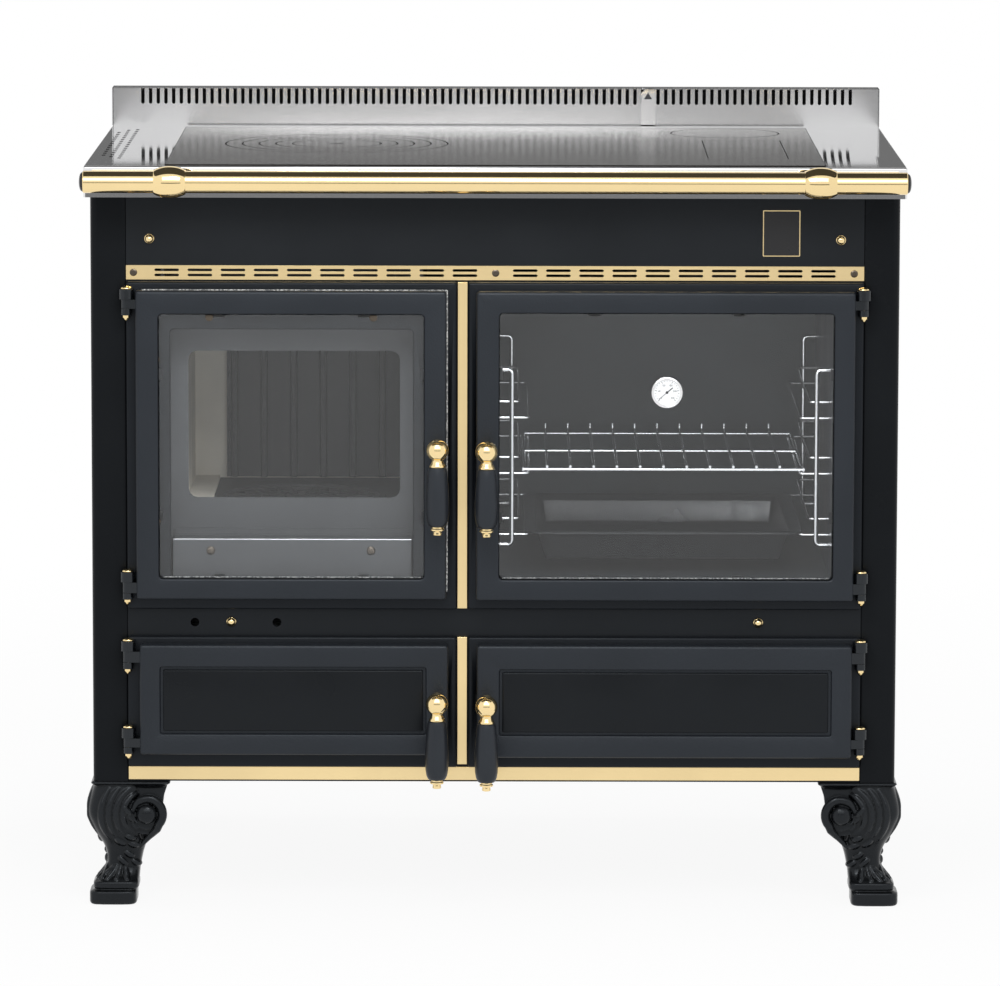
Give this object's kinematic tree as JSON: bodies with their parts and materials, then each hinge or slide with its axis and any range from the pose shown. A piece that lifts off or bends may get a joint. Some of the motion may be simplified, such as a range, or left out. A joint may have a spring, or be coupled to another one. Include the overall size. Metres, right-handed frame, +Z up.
{
  "type": "cast iron range cooker",
  "caption": "Free-standing wood-fired range cooker with glazed fire and oven doors, lower ash and store doors, ringed cast hotplate, slotted upstand and brass towel rail.",
  "frame": {"origin": "on the floor, at the middle of the object's width and of its depth", "axes": "+X to the viewer's right, +Y to the back, +Z up"},
  "size_m": [1.0054, 0.76, 0.966],
  "materials": {
    "black_enamel": "satin black enamel on sheet steel",
    "cast_black": "fine-grained black enamel on cast iron",
    "foot_black": "semi-gloss black paint on cast iron",
    "polished_brass": "polished",
    "brushed_brass": "satin brushed",
    "stainless": "bright stainless sheet",
    "hotplate_iron": "ground and oiled cast iron",
    "fire_steel": "heat-proof grey paint on steel",
    "fire_iron": "raw dark cast iron",
    "firebrick": "pale refractory brick, matt",
    "oven_enamel": "dark speckled oven enamel",
    "oven_wire": "chromed wire",
    "tray_enamel": "glossy dark enamel",
    "liner_steel": "plain galvanised sheet",
    "door_glass": "clear heat-proof glass",
    "rope_seal": "woven glass-fibre rope",
    "black_grip": "satin black",
    "black_cap": "satin black",
    "dial": "polished bezel round a white dial",
    "zinc_steel": "zinc-plated"
  },
  "bodies": {
    "cabinet": {"ash_door_surround": "cast_black", "base_pan": "black_enamel", "brass_trim_strips": "brushed_brass", "feet": "foot_black", "fire_door_surround": "cast_black", "fire_grate": "fire_iron", "firebox_back_plate": "fire_iron", "firebox_front_plate": "fire_steel", "firebox_shell": "fire_steel", "firebricks": "firebrick", "flue_box": "fire_steel", "front_fasteners": "polished_brass", "front_frame": "black_enamel", "hinge_pins": "polished_brass", "hotplate": "hotplate_iron", "left_side_panel": "black_enamel", "oven_door_surround": "cast_black", "oven_liner": "oven_enamel", "rail_brackets": "polished_brass", "rail_end_caps": "black_cap", "rear_panel": "liner_steel", "right_side_panel": "black_enamel", "side_racks": "oven_wire", "splashback": "stainless", "storage_liner": "liner_steel", "store_door_surround": "cast_black", "top_fascia": "black_enamel", "towel_rail": "polished_brass", "vent_strip": "brushed_brass", "worktop": "stainless"},
    "hob_ring_1": {"hob_ring_1": "hotplate_iron"},
    "hob_ring_2": {"hob_ring_2": "hotplate_iron"},
    "hob_ring_3": {"hob_ring_3": "hotplate_iron"},
    "hob_ring_4": {"hob_ring_4": "hotplate_iron"},
    "hob_centre_lid": {"hob_centre_lid": "hotplate_iron"},
    "flue_lid": {"flue_lid": "hotplate_iron"},
    "soot_hatch": {"soot_hatch": "hotplate_iron"},
    "damper_lever": {"damper_lever": "stainless"},
    "ash_pan": {"ash_pan": "liner_steel"},
    "oven_shelf": {"oven_shelf": "oven_wire"},
    "baking_tray": {"baking_tray": "tray_enamel"},
    "fire_door": {"fire_door": "cast_black", "fire_door_glass": "door_glass", "fire_door_seal": "rope_seal", "fire_door_clips": "zinc_steel"},
    "oven_door": {"oven_door": "cast_black", "oven_door_glass": "door_glass", "oven_door_seal": "rope_seal", "oven_door_clips": "zinc_steel", "oven_thermometer": "dial"},
    "ash_door": {"ash_door": "cast_black"},
    "store_door": {"store_door": "cast_black"},
    "fire_handle": {"fire_handle": "polished_brass", "fire_handle_grip": "black_grip"},
    "oven_handle": {"oven_handle": "polished_brass", "oven_handle_grip": "black_grip"},
    "ash_handle": {"ash_handle": "polished_brass", "ash_handle_grip": "black_grip"},
    "store_handle": {"store_handle": "polished_brass", "store_handle_grip": "black_grip"}
  },
  "joints": [
    {"name": "fire_door_hinge", "type": "hinge", "parent": "cabinet", "child": "fire_door", "pos_m": [-0.449, -0.309, 0.57], "axis": [0, 0, -1], "range_deg": [0, 115]},
    {"name": "fire_handle_turn", "type": "hinge", "parent": "fire_door", "child": "fire_handle", "pos_m": [-0.0696, -0.353, 0.5747], "axis": [0, 1, 0], "range_deg": [0, 90]},
    {"name": "oven_door_hinge", "type": "hinge", "parent": "cabinet", "child": "oven_door", "pos_m": [0.449, -0.309, 0.57], "axis": [0, 0, 1], "range_deg": [0, 115]},
    {"name": "oven_handle_turn", "type": "hinge", "parent": "oven_door", "child": "oven_handle", "pos_m": [-0.0096, -0.353, 0.5725], "axis": [0, -1, 0], "range_deg": [0, 90]},
    {"name": "ash_door_hinge", "type": "hinge", "parent": "cabinet", "child": "ash_door", "pos_m": [-0.449, -0.309, 0.26], "axis": [0, 0, -1], "range_deg": [0, 115]},
    {"name": "ash_handle_turn", "type": "hinge", "parent": "ash_door", "child": "ash_handle", "pos_m": [-0.0699, -0.353, 0.262], "axis": [0, 1, 0], "range_deg": [0, 90]},
    {"name": "store_door_hinge", "type": "hinge", "parent": "cabinet", "child": "store_door", "pos_m": [0.449, -0.309, 0.26], "axis": [0, 0, 1], "range_deg": [0, 115]},
    {"name": "store_handle_turn", "type": "hinge", "parent": "store_door", "child": "store_handle", "pos_m": [-0.0093, -0.353, 0.259], "axis": [0, -1, 0], "range_deg": [0, 90]},
    {"name": "hob_ring_1_lift", "type": "slide", "parent": "cabinet", "child": "hob_ring_1", "axis": [0, 0, 1], "range_m": [0, 0.12]},
    {"name": "hob_ring_2_lift", "type": "slide", "parent": "hob_ring_1", "child": "hob_ring_2", "axis": [0, 0, 1], "range_m": [0, 0.12]},
    {"name": "hob_ring_3_lift", "type": "slide", "parent": "hob_ring_2", "child": "hob_ring_3", "axis": [0, 0, 1], "range_m": [0, 0.12]},
    {"name": "hob_ring_4_lift", "type": "slide", "parent": "hob_ring_3", "child": "hob_ring_4", "axis": [0, 0, 1], "range_m": [0, 0.12]},
    {"name": "hob_centre_lid_lift", "type": "slide", "parent": "hob_ring_4", "child": "hob_centre_lid", "axis": [0, 0, 1], "range_m": [0, 0.12]},
    {"name": "flue_lid_lift", "type": "slide", "parent": "cabinet", "child": "flue_lid", "axis": [0, 0, 1], "range_m": [0, 0.12]},
    {"name": "soot_hatch_lift", "type": "slide", "parent": "cabinet", "child": "soot_hatch", "axis": [0, 0, 1], "range_m": [0, 0.12]},
    {"name": "damper_pull", "type": "slide", "parent": "cabinet", "child": "damper_lever", "axis": [0, 0, 1], "range_m": [0, 0.04]},
    {"name": "ash_pan_slide", "type": "slide", "parent": "cabinet", "child": "ash_pan", "axis": [0, -1, 0], "range_m": [0, 0.21]},
    {"name": "oven_shelf_slide", "type": "slide", "parent": "cabinet", "child": "oven_shelf", "axis": [0, -1, 0], "range_m": [0, 0.27]},
    {"name": "baking_tray_slide", "type": "slide", "parent": "cabinet", "child": "baking_tray", "axis": [0, -1, 0], "range_m": [0, 0.27]}
  ],
  "couplings": [
    {"joint": "ash_pan_slide", "follows": "ash_door_hinge", "m_per_rad": 0.1046},
    {"joint": "oven_shelf_slide", "follows": "oven_door_hinge", "m_per_rad": 0.1345},
    {"joint": "baking_tray_slide", "follows": "oven_door_hinge", "m_per_rad": 0.1345}
  ]
}
